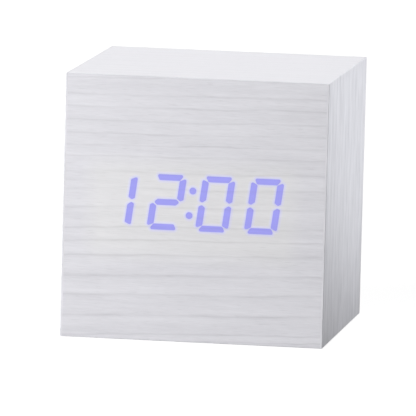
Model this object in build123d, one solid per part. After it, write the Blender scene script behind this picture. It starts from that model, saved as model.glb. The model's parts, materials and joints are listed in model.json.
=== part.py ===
from build123d import *
import os
from itertools import product
from math import cos, pi, radians, sin, sqrt, tan

# A veneered cube clock. A seven-segment display shines through the front veneer, and the back holds the
# buttons, the power jack, the sounder and a battery bay with a hinged door.
# Millimetres. The origin is the middle of the base, +Z is up and the display looks along -Y.

# Battery cells and the tray that holds them
CELL_NAMES = ["upper", "middle", "lower"]
CELL_DIAMETER = 10.5
CELL_LENGTH = 44.5
CELL_NUB_DIAMETER = 3.8
CELL_NUB_LENGTH = 1.0
CELL_GAP = 0.4
CELL_SIDE_CLEARANCE = 0.3
CELL_FLOOR_CLEARANCE = 0.2
CELL_DOOR_CLEARANCE = 0.3
TRAY_WALL = 1.4
TRAY_RIB_WIDTH = 1.0
TRAY_RIB_HEIGHT = 3.0
TRAY_FLANGE = 2.0
TRAY_FLANGE_THICKNESS = 1.5
CONTACT_THICKNESS = 0.4
CONTACT_WIDTH = 8.4
TAB_WIDTH = 2.4
TAB_REACH = 2.0
TAB_CLEARANCE = 0.1
SPRING_LENGTH = 3.7
SPRING_WIRE = 0.5
SPRING_WIRE_SIDES = 5
SPRING_BASE_RADIUS = 3.4
SPRING_TIP_RADIUS = 1.9
SPRING_TURNS = 2
SPRING_SEAT_GAP = 0.02
SPRING_SAMPLES = 240

# Case
VENEER = 0.5
BOARD = 4.5
EDGE_CHAMFER = 0.12
TRAY_SIDE_ROOM = 3.1
BLOCK = 7.0
BLOCK_LENGTH = 10.0
BLOCK_TRAY_GAP = 0.5
CONTROL_STRIP = 14.8

# Seven-segment display
TIME_SHOWN = "1200"
DIGIT_PITCH = 12.6
ROW_SPACING = 6.38
COLUMN_SPACING = 6.8
STROKE = 1.7
BAR_LENGTH = 6.4
POST_LENGTH = 5.7
END_SLOPE = 0.7
CORNER_CUT = 0.35
SLANT = 7.4
COLON_DIAMETER = 1.8
COLON_OFFSET = 3.23
DISPLAY_SHIFT = -0.83
DISPLAY_LIFT = 1.85
DISPLAY_SIDE_MARGIN = 2.0
DISPLAY_END_MARGIN = 2.27
DISPLAY_DEPTH = 8.0
WELL_DRAFT = 1.8
LENS_DEPTH = 5.0
LENS_CLEARANCE = 0.03
WINDOW_CLEARANCE = 0.15
DIFFUSER = 0.25
LED_SIZE = 0.9
LED_HEIGHT = 0.5

# Circuit boards and what stands on them
PCB = 1.6
MAIN_SIDE_GAP = 2.0
MAIN_HEIGHT = 44.0
MAIN_HOLE_INSET = 3.2
SPACER_RADIUS = 2.6
SPACER_SIDES = 6
CONTROL_END_GAP = 1.3
CONTROL_SIDE_GAP = 1.0
CHIP_SIZE = (17.9, 7.5)
CHIP_HEIGHT = 2.4
CHIP_RISE = 10.0
CRYSTAL_DIAMETER = 2.0
CRYSTAL_LENGTH = 6.0
CRYSTAL_SHIFT = 15.0
CAPACITOR_DIAMETER = 6.3
CAPACITOR_HEIGHT = 7.7
CAPACITOR_SHIFT = 15.0
SOCKET_SIZE = (10.0, 4.0)
SOCKET_DEPTH = 4.0
MAIN_SOCKET_INSET = 10.0

# Back plate
RIM_RECESS = 1.5
PLATE = 2.0
PLATE_CLEARANCE = 0.3
PLATE_CORNER = 1.0
PLATE_CHAMFER = 0.4
BOSS_RADIUS = 1.8
BOSS_SHIFT = 12.6
BOSS_DROP = 4.4
SOUND_SLOT_WIDTH = 1.2
SOUND_SLOT_LENGTH = 6.0
SOUND_SLOT_PITCH = 2.2
SOUND_SLOTS = 3

# Screws: head radius, head height and shank radius; small rounds have this many sides
ROUND_SIDES = 18
PLATE_SCREW_HEAD = 2.2
PLATE_SCREW_HEAD_HEIGHT = 1.2
PLATE_SCREW_SHANK = 1.1
PLATE_SCREW_BITE = 7.0
SMALL_SCREW_HEAD = 1.7
SMALL_SCREW_HEAD_HEIGHT = 1.1
SMALL_SCREW_SHANK = 0.8
SMALL_SCREW_BITE = 3.5
SCREW_CLEARANCE = 0.05
SCREW_HEAD_CLEARANCE = 0.2
RECESS_WIDTH = 0.5
RECESS_DEPTH = 0.6

# Buttons and their switches
BUTTON_RADIUS = 3.0
BUTTON_CLEARANCE = 0.08
BUTTON_PROUD = 1.0
BUTTON_CHAMFER = 0.4
BUTTON_SPACING = 8.5
BUTTON_LIFT = 0.6
BUTTON_TRAVEL = 0.5
FLANGE_LENGTH = 7.8
FLANGE_HEIGHT = 5.4
FLANGE = 0.8
FLANGE_GAP = 0.05
STEM_SIZE = 3.2
STEM_LENGTH = 1.25
SWITCH_SIZE = 6.0
SWITCH_HEIGHT = 3.5
PLUNGER_RADIUS = 1.7
PLUNGER_RISE = 0.8
PLUNGER_SEAT = 0.8
PLUNGER_CLEARANCE = 0.06
PLUNGER_ROOM = 0.2

# Power jack and sounder
JACK_SIZE = 7.0
JACK_NOSE_RADIUS = 2.9
JACK_NOSE_SINK = 0.2
JACK_HOLE_CLEARANCE = 0.1
JACK_BORE_RADIUS = 1.85
JACK_FLOOR = 0.8
JACK_PLATE_GAP = 0.2
JACK_PIN_RADIUS = 0.65
JACK_PIN_ROOT_RADIUS = 0.9
JACK_PIN_SINK = 0.5
JACK_PIN_CLEARANCE = 0.02
JACK_SHIFT = -17.3
SOUNDER_RADIUS = 4.5
SOUNDER_HEIGHT = 5.2
SOUNDER_SHIFT = 16.9

# Battery door
DOOR_LEDGE = 1.0
DOOR_CLEARANCE = 0.3
DOOR_SEAT_GAP = 0.1
TRUNNION_RADIUS = 0.6
TRUNNION_LENGTH = 1.2
TRUNNION_CLEARANCE = 0.05
TRUNNION_END_GAP = 0.2
LATCH_WIDTH = 9.0
LATCH_LENGTH = 7.0
LATCH_SLOT = 0.8
GRIP_RIDGES = 3
GRIP_RIDGE = 0.6
GRIP_PITCH = 1.5
GRIP_RISE = 0.4
SCOOP_RADIUS = 5.0
SCOOP_DEPTH = 1.2

# Leads and ribbon
LEAD_RADIUS = 0.6
LEAD_SIDES = 6
LEAD_STANDOFF = 8.0
LEAD_BOARD_SHIFT = 18.0
RIBBON_WIDTH = 8.0
RIBBON_THICKNESS = 0.8
RIBBON_END_RUN = 10.0
BEND_SHARE = 0.45

# Case levels that follow from the sizes above
CELL_COUNT = len(CELL_NAMES)
BAY_LENGTH = CELL_LENGTH + SPRING_LENGTH + 2 * CONTACT_THICKNESS
CELL_PITCH = CELL_DIAMETER + CELL_GAP
BAY_HEIGHT = CELL_COUNT * CELL_PITCH - CELL_GAP + 2 * CELL_SIDE_CLEARANCE
TRAY_LENGTH = BAY_LENGTH + 2 * TRAY_WALL
TRAY_HEIGHT = BAY_HEIGHT + 2 * TRAY_WALL
STACK_HEIGHT = BLOCK + BLOCK_TRAY_GAP + TRAY_HEIGHT + CONTROL_STRIP
INNER = max(TRAY_LENGTH + 2 * TRAY_SIDE_ROOM, STACK_HEIGHT)
WALL = BOARD + VENEER
CUBE = INNER + 2 * WALL
HALF = CUBE / 2
CEILING_Z = CUBE - WALL

# Depths of the display stack, from the front
VENEER_BACK = -HALF + VENEER
BOARD_BACK = -HALF + WALL
DISPLAY_FRONT = VENEER_BACK + DIFFUSER
DISPLAY_BACK = DISPLAY_FRONT + DISPLAY_DEPTH
MAIN_REAR = DISPLAY_BACK + PCB

# Depths at the back, from the rear rim
PLATE_OUT = HALF - RIM_RECESS
PLATE_IN = PLATE_OUT - PLATE
DOOR_IN = PLATE_IN + DOOR_SEAT_GAP
CELL_Y = DOOR_IN - CELL_DOOR_CLEARANCE - CELL_DIAMETER / 2
BAY_FLOOR = CELL_Y - CELL_DIAMETER / 2 - CELL_FLOOR_CLEARANCE
TRAY_FRONT = BAY_FLOOR - TRAY_WALL
PLUNGER_TOP = PLATE_IN - FLANGE_GAP - FLANGE - STEM_LENGTH
SWITCH_TOP = PLUNGER_TOP - PLUNGER_RISE
CONTROL_REAR = SWITCH_TOP - SWITCH_HEIGHT
CONTROL_FRONT = CONTROL_REAR - PCB
JACK_NOSE_Y = PLATE_OUT - JACK_NOSE_SINK

# Heights at the back
TRAY_BOTTOM = WALL + BLOCK + BLOCK_TRAY_GAP
TRAY_TOP = TRAY_BOTTOM + TRAY_HEIGHT
TRAY_Z = (TRAY_BOTTOM + TRAY_TOP) / 2
CONTROL_Z = (TRAY_TOP + CEILING_Z) / 2
BUTTON_Z = CONTROL_Z + BUTTON_LIFT
BOSS_Z = CONTROL_Z - BOSS_DROP
DISPLAY_Z = HALF + DISPLAY_LIFT

# Display block and window
DIGIT_WIDTH = COLUMN_SPACING + STROKE
DIGIT_HEIGHT = 2 * ROW_SPACING + STROKE
DISPLAY_WIDTH = (len(TIME_SHOWN) - 1) * DIGIT_PITCH + DIGIT_WIDTH + 2 * DISPLAY_SIDE_MARGIN
DISPLAY_HEIGHT = DIGIT_HEIGHT + 2 * DISPLAY_END_MARGIN
MAIN_WIDTH = INNER - 2 * MAIN_SIDE_GAP
CHIP_Z = HALF - MAIN_HEIGHT / 2 + CHIP_RISE
MAIN_SOCKET_Z = HALF + MAIN_HEIGHT / 2 - MAIN_SOCKET_INSET
CONTROL_LENGTH = INNER - 2 * BLOCK - 2 * CONTROL_SIDE_GAP
CONTROL_HEIGHT = CEILING_Z - TRAY_TOP - 2 * CONTROL_END_GAP

# Door and its hinge
OPENING_LENGTH = BAY_LENGTH + 2 * DOOR_LEDGE
OPENING_HEIGHT = BAY_HEIGHT + 2 * DOOR_LEDGE
DOOR_LENGTH = OPENING_LENGTH - 2 * DOOR_CLEARANCE
DOOR_BOTTOM = TRAY_Z - OPENING_HEIGHT / 2 + DOOR_CLEARANCE
DOOR_TOP = TRAY_Z + OPENING_HEIGHT / 2 - DOOR_CLEARANCE
DOOR_THICKNESS = PLATE_OUT - DOOR_IN
HINGE_Y = (DOOR_IN + PLATE_OUT) / 2
HINGE_Z = DOOR_TOP - DOOR_THICKNESS / 2

# Places that more than one piece uses
SCREW_INSET = BLOCK / 2
PLATE_SCREWS = [
    (side * (INNER / 2 - SCREW_INSET), HALF + end * (INNER / 2 - SCREW_INSET))
    for side, end in product((-1, 1), repeat=2)
]
MAIN_SCREWS = [(0.0, HALF + end * (MAIN_HEIGHT / 2 - MAIN_HOLE_INSET)) for end in (-1, 1)]
CONTROL_SCREWS = [(side * BOSS_SHIFT, BOSS_Z) for side in (-1, 1)]
BUTTONS = {"set": BUTTON_SPACING, "up": 0.0, "down": -BUTTON_SPACING}
CELL_TOP_Z = TRAY_Z + BAY_HEIGHT / 2 - CELL_SIDE_CLEARANCE - CELL_DIAMETER / 2
CELL_Z = [CELL_TOP_Z - index * CELL_PITCH for index in range(CELL_COUNT)]
CONTACT_FACE = BAY_LENGTH / 2 - CONTACT_THICKNESS

# Turn of each side wall about the cube's middle, and the angle at which the boards meet
SIDE_TURNS = {"top": 0, "left": 90, "bottom": 180, "right": 270}
MITRE = 45

# Seven segments: place in rows and columns, and the turn that puts the long edge outwards
SEGMENTS = {
    "a": (0, 1, 0),
    "b": (0.5, 0.5, -90),
    "c": (0.5, -0.5, -90),
    "d": (0, -1, 180),
    "e": (-0.5, -0.5, 90),
    "f": (-0.5, 0.5, 90),
    "g": (0, 0, 0),
}
NUMERALS = {"0": "abcdef", "1": "bc", "2": "abdeg"}


def slab(sketch, y_front, y_back):
    """Sketch in X and Z, made solid between two depths."""
    return extrude(Plane.XZ.offset(-y_back) * sketch, y_back - y_front)


def block(x, y, z):
    """Box between two limits on each axis."""
    return Pos(*((low + high) / 2 for low, high in (x, y, z))) * Box(*(abs(b - a) for a, b in (x, y, z)))


def drafted(solid, y_face, angle):
    """Solid whose walls along Y lean inwards by an angle, from one depth towards the back."""
    walls = solid.faces().filter_by(Axis.Y, reverse=True)
    return draft(walls, Plane((0, y_face, 0), z_dir=(0, 1, 0)), angle)


def small_round(radius):
    """Round section of a small repeated piece or of the hole for it."""
    return RegularPolygon(radius, ROUND_SIDES)


def case_boards():
    """Five fibreboards, mitred where they meet; the front one has the display window."""
    outer = CUBE - 2 * VENEER
    face = Pos(0, HALF) * Rectangle(outer, outer)
    front = drafted(slab(face, VENEER_BACK, BOARD_BACK), VENEER_BACK, MITRE)
    whole = Pos(0, 0, HALF) * Box(outer, outer, outer)
    sleeve = whole - slab(Pos(0, HALF) * Rectangle(INNER, INNER), VENEER_BACK, HALF) - front
    boards = {}
    for name, turn in SIDE_TURNS.items():
        wedge = Polygon((0, 0), (outer / 2, outer / 2), (-outer / 2, outer / 2), align=None)
        boards[name + "_board"] = sleeve & slab(Pos(0, HALF) * Rot(0, 0, turn) * wedge, VENEER_BACK, HALF)
    window = Rectangle(DISPLAY_WIDTH + 2 * WINDOW_CLEARANCE, DISPLAY_HEIGHT + 2 * WINDOW_CLEARANCE)
    front -= slab(Pos(DISPLAY_SHIFT, DISPLAY_Z) * window, VENEER_BACK, BOARD_BACK)
    pilot = small_round(SMALL_SCREW_SHANK + SCREW_CLEARANCE)
    pilots = [Pos(*place) * pilot for place in MAIN_SCREWS]
    boards["front_board"] = front - slab(Sketch() + pilots, BOARD_BACK - SMALL_SCREW_BITE, BOARD_BACK)
    return boards


def veneers():
    """Veneer sheets on the five faces, with every outer edge of the cube eased."""
    cube = Box(CUBE, CUBE, CUBE)
    eased = Pos(0, 0, HALF) * chamfer(cube.edges(), EDGE_CHAMFER)
    between = (-HALF + VENEER, HALF - VENEER)
    behind_front = (VENEER_BACK, HALF)
    sheets = {
        "left_veneer": block((-HALF, -HALF + VENEER), (-HALF, HALF), (0, CUBE)),
        "right_veneer": block((HALF - VENEER, HALF), (-HALF, HALF), (0, CUBE)),
        "front_veneer": block(between, (-HALF, VENEER_BACK), (0, CUBE)),
        "top_veneer": block(between, behind_front, (CUBE - VENEER, CUBE)),
        "bottom_veneer": block(between, behind_front, (0, VENEER)),
    }
    return {name: sheet & eased for name, sheet in sheets.items()}


def rear_edging():
    """Four mitred veneer strips on the rear rim of the boards."""
    outer = HALF - VENEER
    inner = INNER / 2
    strip = Polygon((-outer, outer), (-inner, inner), (inner, inner), (outer, outer), align=None)
    strips = [Pos(0, HALF) * Rot(0, 0, turn) * strip for turn in SIDE_TURNS.values()]
    return [slab(one, HALF - VENEER, HALF) for one in strips]


def corner_blocks():
    """Glued blocks in the four corners, which the back plate is screwed to."""
    pilot = small_round(PLATE_SCREW_SHANK + SCREW_CLEARANCE)
    section = Rectangle(BLOCK, BLOCK) - pilot
    return [slab(Pos(*place) * section, PLATE_IN - BLOCK_LENGTH, PLATE_IN) for place in PLATE_SCREWS]


def lean(points):
    """Points of an upright digit, slanted so that its top leans to the right."""
    return [(u + v * tan(radians(SLANT)), v) for u, v in points]


def segment_outline(name):
    """Outline of one segment, with eased corners, about the middle of its digit."""
    column, row, turn = SEGMENTS[name]
    stroke = STROKE / 2
    length = (POST_LENGTH if column else BAR_LENGTH) / 2
    slope = END_SLOPE
    if name == "g":
        shape = [(-length, 0), (slope - length, -stroke), (length - slope, -stroke)]
        shape += [(-u, -v) for u, v in shape]
    else:
        shape = [(slope - length, -stroke), (length - slope, -stroke), (length, stroke), (-length, stroke)]
    turned_shape = [Vector(u, v, 0).rotate(Axis.Z, turn) for u, v in shape]
    middle = Vector(column * COLUMN_SPACING, row * ROW_SPACING, 0)
    corners = lean([(point.X + middle.X, point.Y + middle.Y) for point in turned_shape])
    return chamfer(Polygon(*corners, align=None).vertices(), CORNER_CUT)


def colon_outline(side):
    """Round outline of one colon dot about the middle of the display."""
    place = lean([(0, side * COLON_OFFSET)])[0]
    return Pos(*place) * small_round(COLON_DIAMETER / 2)


def light_path(outline, depth):
    """Solid behind one outline, drafted so that it narrows from the display's face to a depth."""
    return drafted(slab(outline, DISPLAY_FRONT, DISPLAY_FRONT + depth), DISPLAY_FRONT, WELL_DRAFT)


def display_openings():
    """Outline of every segment and dot on the display's face, and whether the shown time lights it."""
    openings = []
    for index, numeral in enumerate(TIME_SHOWN):
        x = DISPLAY_SHIFT + (index - (len(TIME_SHOWN) - 1) / 2) * DIGIT_PITCH
        for name in SEGMENTS:
            openings.append((Pos(x, DISPLAY_Z) * segment_outline(name), name in NUMERALS[numeral]))
    for side in (-1, 1):
        openings.append((Pos(DISPLAY_SHIFT, DISPLAY_Z) * colon_outline(side), True))
    return openings


def display_module():
    """Reflector block with a tapering well for every segment, its lenses, its LEDs and the diffuser."""
    outline = Pos(DISPLAY_SHIFT, DISPLAY_Z) * Rectangle(DISPLAY_WIDTH, DISPLAY_HEIGHT)
    wells = []
    lenses = {True: [], False: []}
    leds = []
    for shape, lit in display_openings():
        wells.append(light_path(shape, DISPLAY_DEPTH))
        lenses[lit].append(light_path(offset(shape, -LENS_CLEARANCE), LENS_DEPTH))
        middle = shape.center()
        led = Pos(middle.X, middle.Y) * Rectangle(LED_SIZE, LED_SIZE)
        leds.append(slab(led, DISPLAY_BACK - LED_HEIGHT, DISPLAY_BACK))
    return {
        "display_frame": slab(outline, DISPLAY_FRONT, DISPLAY_BACK) - wells,
        "lit_segments": lenses[True],
        "unlit_segments": lenses[False],
        "segment_leds": leds,
        "diffuser_sheet": slab(outline, VENEER_BACK, DISPLAY_FRONT),
    }


def screw(place, y_seat, towards, head, head_height, shank, length):
    """Screw along Y: its head's underside at y_seat, its shank pointing towards +Y or -Y."""
    head_end = y_seat - towards * head_height
    tip = y_seat + towards * length
    body = slab(Pos(*place) * small_round(head), *sorted((head_end, y_seat)))
    return body + slab(Pos(*place) * small_round(shank), *sorted((y_seat, tip)))


def main_electronics():
    """Main board behind the display, its spacers and screws, and the parts soldered to it."""
    hole = small_round(SMALL_SCREW_SHANK + SCREW_CLEARANCE)
    holes = [Pos(*place) * hole for place in MAIN_SCREWS]
    board = Pos(0, HALF) * Rectangle(MAIN_WIDTH, MAIN_HEIGHT) - holes
    spacer = RegularPolygon(SPACER_RADIUS, SPACER_SIDES) - hole
    length = PCB + DISPLAY_BACK - BOARD_BACK + SMALL_SCREW_BITE - SCREW_CLEARANCE
    small = (SMALL_SCREW_HEAD, SMALL_SCREW_HEAD_HEIGHT, SMALL_SCREW_SHANK, length)
    crystal_plane = Plane(
        origin=(CRYSTAL_SHIFT, MAIN_REAR + CRYSTAL_DIAMETER / 2, CHIP_Z - CRYSTAL_LENGTH / 2),
        z_dir=(0, 0, 1),
    )
    capacitor = Pos(-CAPACITOR_SHIFT, CHIP_Z) * small_round(CAPACITOR_DIAMETER / 2)
    socket = Pos(0, MAIN_SOCKET_Z) * Rectangle(*SOCKET_SIZE)
    chip = Pos(0, CHIP_Z) * Rectangle(*CHIP_SIZE)
    return {
        "main_board": slab(board, DISPLAY_BACK, MAIN_REAR),
        "board_spacers": [slab(Pos(*place) * spacer, BOARD_BACK, DISPLAY_BACK) for place in MAIN_SCREWS],
        "board_screws": [screw(place, MAIN_REAR, -1, *small) for place in MAIN_SCREWS],
        "clock_chip": slab(chip, MAIN_REAR, MAIN_REAR + CHIP_HEIGHT),
        "quartz_crystal": extrude(crystal_plane * small_round(CRYSTAL_DIAMETER / 2), CRYSTAL_LENGTH),
        "smoothing_capacitor": slab(capacitor, MAIN_REAR, MAIN_REAR + CAPACITOR_HEIGHT),
        "main_socket": slab(socket, MAIN_REAR, MAIN_REAR + SOCKET_DEPTH),
    }


def sound_slots():
    """Slots behind which the sounder stands."""
    lowest = BUTTON_Z - (SOUND_SLOTS - 1) / 2 * SOUND_SLOT_PITCH
    heights = [lowest + index * SOUND_SLOT_PITCH for index in range(SOUND_SLOTS)]
    return [Pos(SOUNDER_SHIFT, z) * SlotOverall(SOUND_SLOT_LENGTH, SOUND_SLOT_WIDTH) for z in heights]


def back_plate():
    """Moulded plate let into the rear opening, with the board's bosses on its inner face."""
    side = INNER - 2 * PLATE_CLEARANCE
    plate = slab(Pos(0, HALF) * RectangleRounded(side, side, PLATE_CORNER), PLATE_IN, PLATE_OUT)
    plate = chamfer(plate.faces().sort_by(Axis.Y)[-1].edges(), PLATE_CHAMFER)
    cuts = sound_slots()
    cuts.append(Pos(0, TRAY_Z) * Rectangle(OPENING_LENGTH, OPENING_HEIGHT))
    cuts.append(Pos(JACK_SHIFT, BUTTON_Z) * Circle(JACK_NOSE_RADIUS + JACK_HOLE_CLEARANCE))
    cuts += [Pos(x, BUTTON_Z) * Circle(BUTTON_RADIUS + BUTTON_CLEARANCE) for x in BUTTONS.values()]
    cuts += [Pos(*place) * small_round(PLATE_SCREW_SHANK + SCREW_CLEARANCE) for place in PLATE_SCREWS]
    plate -= slab(Sketch() + cuts, PLATE_IN, PLATE_OUT)
    head = small_round(PLATE_SCREW_HEAD + SCREW_HEAD_CLEARANCE)
    heads = Sketch() + [Pos(*place) * head for place in PLATE_SCREWS]
    plate -= slab(heads, PLATE_OUT - PLATE_SCREW_HEAD_HEIGHT, PLATE_OUT)
    boss = Sketch() + [Pos(*place) * small_round(BOSS_RADIUS) for place in CONTROL_SCREWS]
    plate += slab(boss, CONTROL_REAR, PLATE_IN)
    pilot = small_round(SMALL_SCREW_SHANK + SCREW_CLEARANCE)
    pilots = Sketch() + [Pos(*place) * pilot for place in CONTROL_SCREWS]
    plate -= slab(pilots, CONTROL_REAR, CONTROL_REAR + SMALL_SCREW_BITE)
    reach = OPENING_LENGTH / 2 + TRUNNION_LENGTH + TRUNNION_END_GAP - DOOR_CLEARANCE
    plate -= hinge_rod(TRUNNION_RADIUS + TRUNNION_CLEARANCE, -reach, reach)
    scoop = Pos(0, TRAY_Z - OPENING_HEIGHT / 2) * Circle(SCOOP_RADIUS)
    return plate - slab(scoop, PLATE_OUT - SCOOP_DEPTH, PLATE_OUT)


def hinge_rod(radius, x_low, x_high):
    """Cylinder on the door's hinge axis."""
    plane = Plane(origin=(x_low, HINGE_Y, HINGE_Z), x_dir=(0, 1, 0), z_dir=(1, 0, 0))
    return extrude(plane * Circle(radius), x_high - x_low)


def battery_door():
    """Door with a half-round upper edge, a trunnion at each end of it and a sprung latch at the bottom."""
    half = DOOR_LENGTH / 2
    door = block((-half, half), (DOOR_IN, PLATE_OUT), (DOOR_BOTTOM, HINGE_Z))
    door += hinge_rod(DOOR_THICKNESS / 2, -half, half)
    door += hinge_rod(TRUNNION_RADIUS, -half - TRUNNION_LENGTH, half + TRUNNION_LENGTH)
    for side in (-1, 1):
        slot = (side * LATCH_WIDTH / 2, side * (LATCH_WIDTH / 2 + LATCH_SLOT))
        door -= block(slot, (DOOR_IN, PLATE_OUT), (DOOR_BOTTOM, DOOR_BOTTOM + LATCH_LENGTH))
    grip = (-LATCH_WIDTH / 2 + LATCH_SLOT, LATCH_WIDTH / 2 - LATCH_SLOT)
    for index in range(GRIP_RIDGES):
        z = DOOR_BOTTOM + GRIP_PITCH * (index + 1)
        door += block(grip, (PLATE_OUT, PLATE_OUT + GRIP_RISE), (z - GRIP_RIDGE / 2, z + GRIP_RIDGE / 2))
    return door


def buttons():
    """Three push buttons, each flanged behind the plate, with the plunger that its stem presses."""
    pieces = {}
    rear = PLATE_OUT + BUTTON_PROUD
    flange_rear = PLATE_IN - FLANGE_GAP
    flange_front = flange_rear - FLANGE
    for name, x in BUTTONS.items():
        place = Pos(x, BUTTON_Z)
        cap = slab(place * Circle(BUTTON_RADIUS), flange_rear, rear)
        cap = chamfer(cap.faces().sort_by(Axis.Y)[-1].edges(), BUTTON_CHAMFER)
        flange = slab(place * Rectangle(FLANGE_LENGTH, FLANGE_HEIGHT), flange_front, flange_rear)
        stem = slab(place * Rectangle(STEM_SIZE, STEM_SIZE), PLUNGER_TOP, flange_front)
        pieces[name + "_button"] = cap + flange + stem
        plunger = place * small_round(PLUNGER_RADIUS)
        pieces[name + "_plunger"] = slab(plunger, SWITCH_TOP - PLUNGER_SEAT, PLUNGER_TOP)
    return pieces


def switch_housings():
    """Tactile switch bodies, each with the well that its plunger sinks into."""
    body = Rectangle(SWITCH_SIZE, SWITCH_SIZE)
    well = small_round(PLUNGER_RADIUS + PLUNGER_CLEARANCE)
    depth = PLUNGER_SEAT + BUTTON_TRAVEL + PLUNGER_ROOM
    housings = []
    for x in BUTTONS.values():
        place = Pos(x, BUTTON_Z)
        housing = slab(place * body, CONTROL_REAR, SWITCH_TOP)
        housings.append(housing - slab(place * well, SWITCH_TOP - depth, SWITCH_TOP))
    return housings


def power_jack():
    """Barrel jack standing on the control board, and the pin in its bore."""
    body = Pos(JACK_SHIFT, BUTTON_Z) * Rectangle(JACK_SIZE, JACK_SIZE)
    nose = Pos(JACK_SHIFT, BUTTON_Z) * Circle(JACK_NOSE_RADIUS)
    bore = Pos(JACK_SHIFT, BUTTON_Z) * Circle(JACK_BORE_RADIUS)
    pin = Pos(JACK_SHIFT, BUTTON_Z) * Circle(JACK_PIN_RADIUS)
    root = Pos(JACK_SHIFT, BUTTON_Z) * small_round(JACK_PIN_ROOT_RADIUS)
    root_hole = Pos(JACK_SHIFT, BUTTON_Z) * small_round(JACK_PIN_ROOT_RADIUS + JACK_PIN_CLEARANCE)
    floor = CONTROL_REAR + JACK_FLOOR
    jack = slab(body, CONTROL_REAR, PLATE_IN - JACK_PLATE_GAP) + slab(nose, CONTROL_REAR, JACK_NOSE_Y)
    jack -= slab(bore, floor, JACK_NOSE_Y)
    jack -= slab(root_hole, CONTROL_REAR, floor)
    power_pin = slab(root, CONTROL_REAR, floor) + slab(pin, floor, JACK_NOSE_Y - JACK_PIN_SINK)
    return {"power_jack": jack, "power_pin": power_pin}


def control_electronics():
    """Control board behind the buttons, with the sounder, the ribbon's socket and its own screws."""
    hole = small_round(SMALL_SCREW_SHANK + SCREW_CLEARANCE)
    holes = [Pos(*place) * hole for place in CONTROL_SCREWS]
    board = Pos(0, CONTROL_Z) * Rectangle(CONTROL_LENGTH, CONTROL_HEIGHT) - holes
    length = PCB + SMALL_SCREW_BITE - SCREW_CLEARANCE
    small = (SMALL_SCREW_HEAD, SMALL_SCREW_HEAD_HEIGHT, SMALL_SCREW_SHANK, length)
    sounder = Pos(SOUNDER_SHIFT, BUTTON_Z) * Circle(SOUNDER_RADIUS)
    socket = Pos(0, CONTROL_Z) * Rectangle(*SOCKET_SIZE)
    return {
        "control_board": slab(board, CONTROL_FRONT, CONTROL_REAR),
        "control_screws": [screw(place, CONTROL_FRONT, 1, *small) for place in CONTROL_SCREWS],
        "control_socket": slab(socket, CONTROL_FRONT - SOCKET_DEPTH, CONTROL_FRONT),
        "sounder": slab(sounder, CONTROL_REAR, CONTROL_REAR + SOUNDER_HEIGHT),
    }


def back_plate_screws():
    """Screws through the plate's corners into the glued blocks, with a cross recess in each head."""
    seat = PLATE_OUT - PLATE_SCREW_HEAD_HEIGHT
    length = seat - PLATE_IN + PLATE_SCREW_BITE
    large = (PLATE_SCREW_HEAD, PLATE_SCREW_HEAD_HEIGHT, PLATE_SCREW_SHANK, length)
    arm = Rectangle(PLATE_SCREW_HEAD, RECESS_WIDTH)
    cross = arm + Rot(0, 0, 90) * arm
    recesses = [slab(Pos(*place) * cross, PLATE_OUT - RECESS_DEPTH, PLATE_OUT) for place in PLATE_SCREWS]
    return [screw(place, seat, -1, *large) - recess for place, recess in zip(PLATE_SCREWS, recesses)]


def cell_side(index):
    """Side of the bay that a cell's nub points to: neighbours alternate."""
    return 1 if index % 2 == 0 else -1


def battery_tray():
    """Open tray behind the plate, with ribs between the cells and a flange along each end."""
    outside = (TRAY_BOTTOM, TRAY_TOP)
    bay = (TRAY_Z - BAY_HEIGHT / 2, TRAY_Z + BAY_HEIGHT / 2)
    tray = block((-TRAY_LENGTH / 2, TRAY_LENGTH / 2), (TRAY_FRONT, PLATE_IN), outside)
    tray -= block((-BAY_LENGTH / 2, BAY_LENGTH / 2), (BAY_FLOOR, PLATE_IN), bay)
    for upper, lower in zip(CELL_Z, CELL_Z[1:]):
        middle = (upper + lower) / 2
        rib = (middle - TRAY_RIB_WIDTH / 2, middle + TRAY_RIB_WIDTH / 2)
        tray += block((-CONTACT_FACE, CONTACT_FACE), (BAY_FLOOR, BAY_FLOOR + TRAY_RIB_HEIGHT), rib)
    for side in (-1, 1):
        flange = (side * TRAY_LENGTH / 2, side * (TRAY_LENGTH / 2 + TRAY_FLANGE))
        tray += block(flange, (PLATE_IN - TRAY_FLANGE_THICKNESS, PLATE_IN), bay)
    for side, z in ((1, CELL_Z[0]), (terminal_side(), CELL_Z[-1])):
        tray -= terminal_tab(side, z, BAY_FLOOR, TAB_CLEARANCE)
    return tray


def terminal_side():
    """Side of the bay where the last cell's base, the bay's negative end, lies."""
    return -cell_side(CELL_COUNT - 1)


def terminal_tab(side, z, y_back, clearance=0.0):
    """Solder tab that runs from a contact through the tray's floor, or the slot for it."""
    x = (side * (CONTACT_FACE - clearance), side * (CONTACT_FACE + CONTACT_THICKNESS))
    half = TAB_WIDTH / 2 + clearance
    return block(x, (TRAY_FRONT - TAB_REACH, y_back), (z - half, z + half))


def contact_plate(side, z_high, z_low):
    """Contact on one end wall, behind one cell or bridging two."""
    x = (side * CONTACT_FACE, side * (CONTACT_FACE + CONTACT_THICKNESS))
    half = CONTACT_WIDTH / 2
    return block(x, (CELL_Y - half, CELL_Y + half), (z_low - half, z_high + half))


def contacts():
    """The two terminals with their tabs, and a link for each pair of neighbours in the row."""
    upper, middle, lower = CELL_Z
    plus = contact_plate(1, upper, upper) + terminal_tab(1, upper, CELL_Y)
    minus = contact_plate(terminal_side(), lower, lower) + terminal_tab(terminal_side(), lower, CELL_Y)
    return {
        "positive_contact": plus,
        "negative_contact": minus,
        "left_link": contact_plate(-1, upper, middle),
        "right_link": contact_plate(1, middle, lower),
    }


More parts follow.
